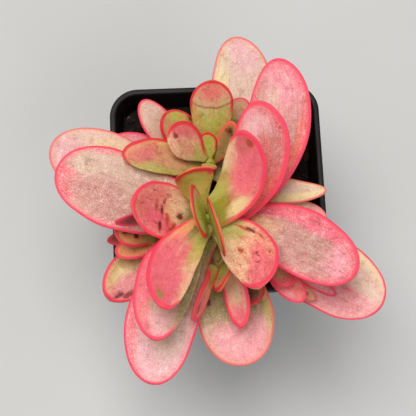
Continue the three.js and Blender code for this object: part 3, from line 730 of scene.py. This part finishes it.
def leaf_material(name, style, seed):
    skin = LeafSkin(name, style, seed)
    skin.lay_blade()
    skin.lay_washes()
    skin.lay_glow()
    skin.lay_speckles()
    if style["veins"]:
        skin.lay_veins(style["veins"])
    if style["scars"]:
        skin.lay_scars(style["scars"])
    for mark in MARKS.get(name, ()):
        skin.lay_mark(mark)
    skin.lay_margin()
    # the underside keeps more of the foot's colour
    skin.lay(skin.times(skin.under, 0.35), toward(style["base"], style["blade"], 0.5))
    return skin.finish(skin.colour, skin.ramp(skin.mottle, 0.2, 0.8, 0.4, 0.56), skin.relief(), **SHEEN)


def make_leaf(name, row, seed):
    rng = random.Random(seed)
    wave = {"turns": rng.uniform(*WAVE_TURNS), "phase": rng.uniform(*WAVE_PHASES),
            "dent": DENT_DEPTH * min(1, row["width"] / DENT_WIDTH)}
    points, attributes = leaf_rings(row, wave)
    node = "leaf_" + name
    material = leaf_material(name, LOOKS[name], seed)
    faces = ring_faces(ALONG_STEPS, AROUND_STEPS)
    add_piece("fine_" + node, points * MM, faces, material, node, attributes)


# Stems

STEM_SIDES, STEM_STEP, SLOPE_REACH, STEM_INSET, STEM_END = 28, 0.5, 1.5, 0.05, 0.12
RING_HEIGHT, RING_PITCH, RING_POWER, RING_FADE = 0.14, 1.9, 6, 6
LUMP_SIZE, LUMP_COUNT, LUMP_TWIST = 0.03, 3, 0.4
# heights in metres: bark turns to young skin between the first two, and that to lime by the third
YOUNG_FROM, YOUNG_TO, LIME_BY = 0.062, 0.078, 0.082
BARK, PALE_BARK = (92, 70, 44), (142, 116, 72)
YOUNG, PALE_YOUNG = (150, 140, 68), (188, 158, 96)
BARK_PATCHES, YOUNG_PATCHES, BARK_GRAIN = 300, 160, 900


def stem_material():
    skin = Nodes("stem_skin")
    height = skin.tree.nodes.new("ShaderNodeSeparateXYZ")
    skin.link(skin.place, height.inputs[0])
    rise = height.outputs["Z"]
    bark = skin.mix(skin.ramp(skin.noise(BARK_PATCHES, 4), 0.35, 0.65), linear(BARK), linear(PALE_BARK))
    young = skin.mix(skin.ramp(skin.noise(YOUNG_PATCHES, 2), 0.3, 0.7), linear(YOUNG), linear(PALE_YOUNG))
    colour = skin.mix(skin.ramp(rise, YOUNG_FROM, YOUNG_TO), bark, young)
    colour = skin.mix(skin.ramp(rise, YOUNG_TO, LIME_BY), colour, linear(LIME))
    return skin.finish(colour, 0.6, skin.bump(skin.noise(BARK_GRAIN, 3), 0.0003, 0.5), Specular_IOR_Level=0.3)


def stem_tube(points):
    """A smooth tube in mm, with the rings that fallen leaves left."""
    path = np.array(points, float)
    lengths = np.concatenate(([0], np.cumsum(np.linalg.norm(np.diff(path[:, :3], axis=0), axis=1))))
    total = lengths[-1]
    count = int(total / STEM_STEP)

    def place(reach):
        return np.array([np.interp(reach, lengths, path[:, axis]) for axis in range(3)])

    rings = []
    for i in range(count + 1):
        distance = total * i / count
        tangent = unit(place(min(distance + SLOPE_REACH, total)) - place(max(distance - SLOPE_REACH, 0)))
        over = unit(np.cross((0, 1, 0), tangent))
        face = np.cross(tangent, over)
        radius = np.interp(distance, lengths, path[:, 3]) - STEM_INSET
        bulge = RING_HEIGHT * max(0, math.sin(distance * RING_PITCH)) ** RING_POWER
        radius += bulge * min(1, (total - distance) / RING_FADE)
        to_end = (total - distance) / (2 * path[-1][3])
        if to_end < 1:
            radius *= max(STEM_END, math.sin(to_end * math.pi / 2))
        for k in range(STEM_SIDES):
            angle = 2 * math.pi * k / STEM_SIDES
            lump = 1 + LUMP_SIZE * math.sin(LUMP_COUNT * angle + distance * LUMP_TWIST)
            rings.append(place(distance) + (over * math.cos(angle) + face * math.sin(angle)) * radius * lump)
    return np.array(rings), ring_faces(count + 1, STEM_SIDES)


def make_stems():
    skin = stem_material()
    for name, group in (("stem_main", (MAIN, FRONT, RIGHT, LEFT)), ("stem_back", (BACK,))):
        points, faces = stem_tube(group[0])
        stem = add_piece("fine_" + name, points * MM, faces, skin, name)
        for path in group[1:]:
            combine(stem, closed_mesh("branch", *stem_tube(path)), "UNION")


# Pot

RIM_SIZE, RIM_CORNER, POT_HEIGHT, LIP_HEIGHT, LIP_OVERHANG = 70, 9.5, 65, 4, 0.8
WALL, FOOT_SIZE, FOOT_CORNER, SMALLEST_CORNER = 1.2, 50, 7, 0.5
POT_FLOOR, DRAIN_RADIUS, DRAIN_OFFSET, DRAIN_SIDES, CUT_PAST = 1.6, 3.2, 15, 36, 1
CORNER_STEPS, SIDE_STEPS = 14, 12
# heights and insets of the rings, from under the foot over the rim to the inner floor, with small
# rounds at the edges: the rows under the lip count down from its foot, the lip's own up from there,
# the rim's down from the top, and the inner floor's up from the floor
FOOT_INSETS = (8, 3, 0.9, 0.3)
FOOT_ROUND = ((0.25, 0.05), (0.7, 0))
SIDE_SHARES = (0.1, 0.3, 0.5, 0.7, 0.9)
UNDER_LIP = (0.3, 0.02)
LIP_PROFILE = ((0, 0.5), (0.05, 0.12), (0.25, 0), (1, 0), (2.2, 0), (3.2, 0), (3.6, 0.06), (3.88, 0.22),
               (4, 0.5))
RIM_PROFILE = ((0, 0.55), (0.1, 0.2), (0.4, 0.03), (1, 0))
INNER_HEIGHTS = (58, 45, 30, 15, 3)
INNER_FLOOR = ((0.3, 0.1), (0, 0.6), (0, 3), (0, 8))
PLASTIC, DUSTY_PLASTIC = (17, 11, 11), (27, 19, 18)
DUST, SCUFFS, PLASTIC_GRAIN = 35, 90, 700


def square_ring(size, corner, z):
    """A rounded square of points in mm."""
    ring = []
    reach = size / 2 - corner
    for quarter in range(4):
        sx = math.copysign(1, math.cos((quarter + 0.5) * math.pi / 2))
        sy = math.copysign(1, math.sin((quarter + 0.5) * math.pi / 2))
        for step in range(CORNER_STEPS + 1):
            angle = (quarter + step / CORNER_STEPS) * math.pi / 2
            x, y = reach * sx + corner * math.cos(angle), reach * sy + corner * math.sin(angle)
            ring.append(np.array((x, y, z)))
        turn = (quarter + 1) * math.pi / 2
        start = ring[-1]
        ahead = np.array((-math.sin(turn), math.cos(turn), 0))
        for step in range(1, SIDE_STEPS):
            ring.append(start + ahead * 2 * reach * step / SIDE_STEPS)
    return ring


def body_ring(z, inset):
    """The tapered body's outline at a height, drawn in by a distance."""
    share = z / POT_HEIGHT
    size = FOOT_SIZE + (RIM_SIZE - 2 * LIP_OVERHANG - FOOT_SIZE) * share - 2 * inset
    corner = FOOT_CORNER + (RIM_CORNER - LIP_OVERHANG - FOOT_CORNER) * share - inset
    return square_ring(size, max(SMALLEST_CORNER, corner), z)


def pot_material():
    shell = Nodes("pot_plastic")
    dust = shell.noise(DUST, 4, rough=0.6)
    colour = shell.mix(shell.ramp(dust, 0.35, 0.75), linear(PLASTIC), linear(DUSTY_PLASTIC))
    roughness = shell.ramp(shell.noise(SCUFFS, 3), 0.2, 0.8, 0.46, 0.62)
    relief = shell.bump(shell.noise(PLASTIC_GRAIN, 2), 0.00004, 0.5)
    return shell.finish(colour, roughness, relief, Specular_IOR_Level=0.3)


def make_pot():
    lip_foot = POT_HEIGHT - LIP_HEIGHT
    rings = [body_ring(0, inset) for inset in FOOT_INSETS]
    rings += [body_ring(z, inset) for z, inset in FOOT_ROUND]
    rings += [body_ring(lip_foot * share, 0) for share in SIDE_SHARES]
    rings += [body_ring(lip_foot - down, 0) for down in UNDER_LIP]
    rings += [square_ring(RIM_SIZE - 2 * inset, RIM_CORNER - inset, lip_foot + z) for z, inset in LIP_PROFILE]
    rings += [body_ring(POT_HEIGHT - down, WALL - out) for down, out in RIM_PROFILE]
    rings += [body_ring(z, WALL) for z in INNER_HEIGHTS]
    rings += [body_ring(POT_FLOOR + z, WALL + inset) for z, inset in INNER_FLOOR]
    points = np.array([p for ring in rings for p in ring])
    faces = ring_faces(len(rings), len(rings[0]))
    pot = add_piece("fine_pot", points * MM, faces, pot_material(), "pot")
    cutters = bmesh.new()
    for x in (-1, 1):
        for y in (-1, 1):
            place = Matrix.Translation(Vector((x * DRAIN_OFFSET, y * DRAIN_OFFSET, POT_FLOOR / 2)) * MM)
            bmesh.ops.create_cone(cutters, cap_ends=True, segments=DRAIN_SIDES, radius1=DRAIN_RADIUS * MM,
                                  radius2=DRAIN_RADIUS * MM, depth=(POT_FLOOR + 2 * CUT_PAST) * MM,
                                  matrix=place)
    drains = bpy.data.meshes.new("drains")
    cutters.to_mesh(drains)
    cutters.free()
    combine(pot, drains, "DIFFERENCE")


# Soil

GAP = 0.3
SOIL_WAVES = ((0.52, 0.47), (0.9, 1.1))
SOIL_PHASE, SOIL_RIPPLE, SOIL_LUMP = 1, 0.5, 0.7
FINE_LUMP, FINE_SCALE, FINE_LAYER, FINE_OCTAVES = 0.5, 0.6, 3, 4
SOIL_HEIGHTS, SOIL_EDGE_DEPTH, SOIL_RIM_SHARE, SOIL_RINGS = (20, 38, 50), 2, 0.97, 26
DARK_MIX, PALE_MIX, BROWN_CRUMB, GREY_CRUMB = (15, 9, 8), (28, 17, 13), (44, 27, 19), (84, 74, 64)
MIX_PATCHES, MIX_GRAIN = 260, 900


def soil_height(x, y):
    """Height of the lumpy top in mm at a place."""
    broad, fine = SOIL_WAVES
    coarse = math.sin(x * broad[0] + SOIL_PHASE) * math.cos(y * broad[1])
    coarse += SOIL_RIPPLE * math.sin(x * fine[0] - y * fine[1])
    rough = noise.fractal(Vector((x, y, FINE_LAYER)) * FINE_SCALE, 1.0, 2.0, FINE_OCTAVES)
    return SOIL_TOP + SOIL_LUMP * coarse + FINE_LUMP * rough


def soil_material():
    earth = Nodes("potting_mix")
    patches = earth.noise(MIX_PATCHES, 4, rough=0.65)
    dark = earth.mix(earth.ramp(patches, 0.35, 0.7), linear(DARK_MIX), linear(PALE_MIX))
    # a crumb's tint makes it browner, and a few crumbs pale grey
    tint = earth.attribute("tint")
    colour = earth.mix(earth.ramp(tint, 0.3, 0.8), dark, linear(BROWN_CRUMB))
    colour = earth.mix(earth.ramp(tint, 0.975, 0.985), colour, linear(GREY_CRUMB))
    relief = earth.bump(earth.voronoi(MIX_GRAIN), 0.0004, 0.8)
    return earth.finish(colour, 0.92, relief, Specular_IOR_Level=0.25)


CRUMBS, CRUMB_SEED, CRUMB_SPREAD = 900, 11, 31
CRUMB_SIZES, BIG_ABOVE, BIG_BY, CRUMB_LIFT = (0.25, 0.8), 0.8, 1.5, 0.25
CRUMB_SPIN, CRUMB_LEAN, CORNER_SPREAD = (0, 6.3), (-0.7, 0.7), (0.7, 1.1)
CRUMB_STRETCH = ((0.8, 2.0), (0.6, 1.0), (0.35, 0.7))
CRUMB_SIDES = ((1, 1, 1), (-1, -1, 1), (-1, 1, -1), (1, -1, -1), (1.2, -0.9, 0.9), (-1, 1.1, 1),
               (1, 0.9, -1.1), (-1.1, -1, -0.9))


def make_crumb(rng):
    """Points in mm, faces and tint of one crumb, half sunk in the soil."""
    x, y = rng.uniform(-CRUMB_SPREAD, CRUMB_SPREAD), rng.uniform(-CRUMB_SPREAD, CRUMB_SPREAD)
    size = rng.uniform(*CRUMB_SIZES) * (1 if rng.random() < BIG_ABOVE else BIG_BY)
    tint = rng.random()
    centre = np.array((x, y, soil_height(x, y) + size * CRUMB_LIFT))
    turn = Matrix.Rotation(rng.uniform(*CRUMB_SPIN), 3, "Z")
    turn = turn @ Matrix.Rotation(rng.uniform(*CRUMB_LEAN), 3, "X")
    stretch = [rng.uniform(*limits) for limits in CRUMB_STRETCH]
    lump = bmesh.new()
    corners = []
    for side in CRUMB_SIDES:
        corner = Vector([a * b * size * rng.uniform(*CORNER_SPREAD) for a, b in zip(side, stretch)])
        corners.append(lump.verts.new(turn @ corner))
    bmesh.ops.convex_hull(lump, input=corners)
    lump.verts.index_update()
    order = {v: i for i, v in enumerate(lump.verts)}
    points = [centre + np.array(v.co) for v in lump.verts]
    faces = [[order[v] for v in f.verts] for f in lump.faces]
    lump.free()
    return points, faces, tint


def make_soil():
    rings = [body_ring(POT_FLOOR + GAP, WALL + GAP)]
    rings += [body_ring(z, WALL + GAP) for z in (*SOIL_HEIGHTS, SOIL_TOP - SOIL_EDGE_DEPTH)]
    for share in [SOIL_RIM_SHARE] + [s / SOIL_RINGS for s in range(SOIL_RINGS - 1, 0, -1)]:
        rings.append([np.array((x * share, y * share, soil_height(x * share, y * share)))
                      for x, y, _ in body_ring(SOIL_TOP, WALL + GAP)])
    points = [p for ring in rings for p in ring]
    faces = ring_faces(len(rings), len(rings[0]))
    tints = [0.0] * len(points)
    rng = random.Random(CRUMB_SEED)
    for _ in range(CRUMBS):
        crumb, crumb_faces, tint = make_crumb(rng)
        faces += [tuple(len(points) + i for i in face) for face in crumb_faces]
        points += crumb
        tints += [tint] * len(crumb)
    add_piece("fine_soil", np.array(points) * MM, faces, soil_material(), "soil", {"tint": tints},
              smooth=False)


# Floor and light

FLOOR_REACH = 2.5
FLOOR_GREY, FLOOR_PALE = (204, 203, 201), (210, 209, 207)
FLOOR_PATCHES, FLOOR_GRAIN = 6, 260
SKY, SKY_STRENGTH = (0.93, 0.96, 1.0, 1), 0.3


def make_floor():
    paint = Nodes("floor_paint")
    patches = paint.ramp(paint.noise(FLOOR_PATCHES, 3), 0.3, 0.7)
    colour = paint.mix(patches, linear(FLOOR_GREY), linear(FLOOR_PALE))
    relief = paint.bump(paint.noise(FLOOR_GRAIN, 3), 0.0002, 0.2)
    material = paint.finish(colour, 0.65, relief, Specular_IOR_Level=0.3)
    mesh = bpy.data.meshes.new("floor")
    corners = [(x * FLOOR_REACH, y * FLOOR_REACH, 0) for x, y in ((-1, -1), (1, -1), (1, 1), (-1, 1))]
    mesh.from_pydata(corners, [], [(0, 1, 2, 3)])
    mesh.materials.append(material)
    floor = bpy.data.objects.new("floor", mesh)
    scene.collection.objects.link(floor)


def make_world():
    world = bpy.data.worlds.new("studio")
    world.use_nodes = True
    background = world.node_tree.nodes["Background"]
    background.inputs["Color"].default_value = SKY
    background.inputs["Strength"].default_value = SKY_STRENGTH
    scene.world = world


make_camera()
make_world()
area_light("soft_top", place=(-0.16, 0.2, 1.03), target=(0, 0, 0.07), size=0.7, power=8.1,
           colour=(1, 0.985, 0.96))
area_light("soft_fill", place=(0.5, -0.62, 0.8), target=(0, 0, 0.05), size=0.9, power=3.1,
           colour=(0.95, 0.98, 1))
make_floor()
make_pot()
make_soil()
make_stems()
for number, (leaf_name, leaf_row) in enumerate(LEAVES.items(), 1):
    make_leaf(leaf_name, leaf_row, number)
scene.view_settings.view_transform = "Standard"
